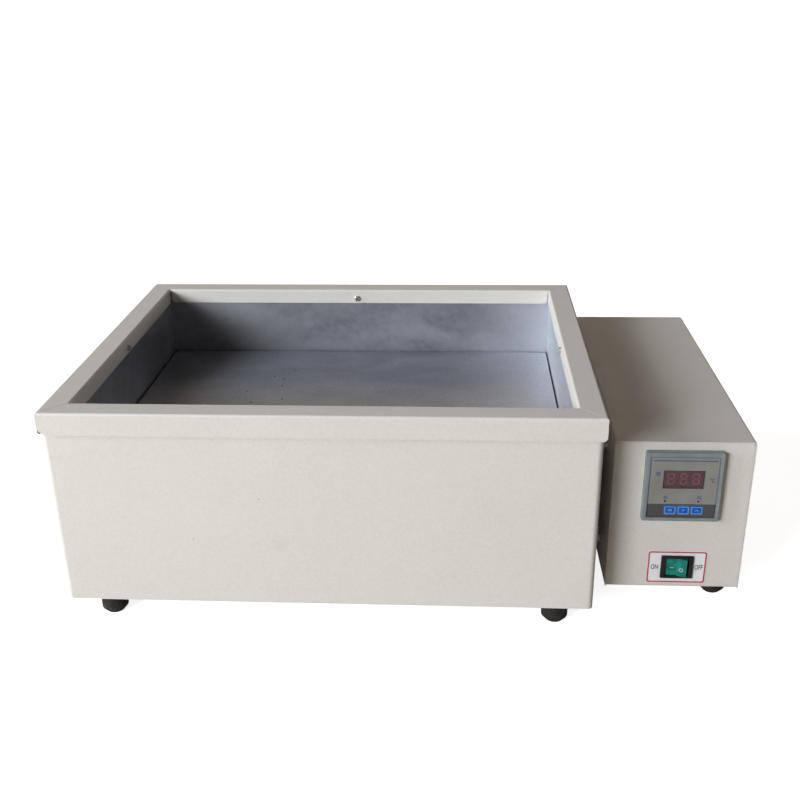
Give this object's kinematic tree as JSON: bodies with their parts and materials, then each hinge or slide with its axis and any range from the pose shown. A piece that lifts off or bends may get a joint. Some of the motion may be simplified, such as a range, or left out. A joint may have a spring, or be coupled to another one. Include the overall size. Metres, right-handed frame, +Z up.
{
  "type": "water bath",
  "caption": "Rectangular electric water bath with a folded steel rim, galvanised tank and lift-out floor plate, and a side control box with temperature controller and rocker switch.",
  "frame": {"origin": "on the bench, under the middle of the whole object's bounding box", "axes": "+X to the right, towards the control box; +Y to the back; +Z up"},
  "size_m": [0.6592, 0.416, 0.233],
  "materials": {
    "cream_paint": "fine orange-peel powder coat",
    "galvanised_sheet": "dull galvanised sheet",
    "zinc_fastener": "zinc plated",
    "heater_steel": "heat-tinted stainless tube",
    "brass_fitting": "machined",
    "red_gasket": "moulded silicone",
    "mineral_wool": "fibrous slab",
    "black_rubber": "moulded",
    "black_plastic": "moulded",
    "lead_sleeve": "braided glass sleeve",
    "bezel_plastic": "fine moulded texture",
    "face_film": "satin printed film",
    "display_filter": "tinted clear",
    "display_body": "moulded",
    "segment_red": "diffusing",
    "lamp_lens": "clear tinted",
    "button_blue": "moulded",
    "circuit_board": "solder mask",
    "label_white": "printed film",
    "switch_black": "moulded",
    "rocker_green": "translucent",
    "neon_glass": "clear",
    "terminal_metal": "tin plated",
    "relay_body": "moulded"
  },
  "bodies": {
    "bath": {"outer_shell": "cream_paint", "back_panel": "cream_paint", "base_plate": "galvanised_sheet", "rim_front": "cream_paint", "rim_back": "cream_paint", "rim_left": "cream_paint", "rim_right": "cream_paint", "inner_tank": "galvanised_sheet", "plate_supports": "galvanised_sheet", "tank_bearers": "galvanised_sheet", "heater_front": "heater_steel", "heater_rear": "heater_steel", "heater_gaskets": "red_gasket", "heater_nuts": "brass_fitting", "heater_terminals": "terminal_metal", "heater_rests": "galvanised_sheet", "sensor_probe": "heater_steel", "probe_nut": "brass_fitting", "insulation_front": "mineral_wool", "insulation_back": "mineral_wool", "insulation_left": "mineral_wool", "insulation_right": "mineral_wool", "insulation_base": "mineral_wool", "rubber_feet": "black_rubber", "hex_bolts": "zinc_fastener", "hex_nuts": "zinc_fastener", "rim_screws": "zinc_fastener", "panel_screws": "zinc_fastener", "bridge_spacers": "zinc_fastener", "wire_conduit": "black_plastic", "heater_leads": "lead_sleeve", "control_chassis": "cream_paint", "control_cover": "cream_paint", "controller_bezel": "bezel_plastic", "controller_face": "face_film", "display_window": "display_filter", "display_module": "display_body", "display_digits": "segment_red", "indicator_lamps": "lamp_lens", "key_switches": "black_plastic", "controller_board": "circuit_board", "controller_case": "black_plastic", "controller_clips": "black_plastic", "controller_terminals": "black_plastic", "switch_label": "label_white", "switch_housing": "switch_black", "switch_lamp": "neon_glass", "switch_terminals": "terminal_metal", "solid_state_relay": "relay_body", "terminal_block": "relay_body", "earth_stud": "brass_fitting", "gland_body": "black_plastic", "gland_seal": "black_rubber", "gland_dome_nut": "black_plastic", "gland_lock_nut": "black_plastic"},
    "floor_plate": {"false_bottom_plate": "galvanised_sheet"},
    "rocker": {"switch_rocker": "rocker_green"},
    "set_key": {"button_set": "button_blue"},
    "down_key": {"button_down": "button_blue"},
    "up_key": {"button_up": "button_blue"}
  },
  "joints": [
    {"name": "plate_lift", "type": "slide", "parent": "bath", "child": "floor_plate", "axis": [0, 0, 1], "range_m": [0, 0.12]},
    {"name": "rocker_tilt", "type": "hinge", "parent": "bath", "child": "rocker", "pos_m": [0.266, -0.1635, 0.0565], "axis": [0, 0, 1], "range_deg": [0, 24]},
    {"name": "set_press", "type": "slide", "parent": "bath", "child": "set_key", "axis": [0, 1, 0], "range_m": [0, 0.0006], "stiffness_N_per_m": 800, "springref_m": -0.0008},
    {"name": "down_press", "type": "slide", "parent": "bath", "child": "down_key", "axis": [0, 1, 0], "range_m": [0, 0.0006], "stiffness_N_per_m": 800, "springref_m": -0.0008},
    {"name": "up_press", "type": "slide", "parent": "bath", "child": "up_key", "axis": [0, 1, 0], "range_m": [0, 0.0006], "stiffness_N_per_m": 800, "springref_m": -0.0008}
  ]
}
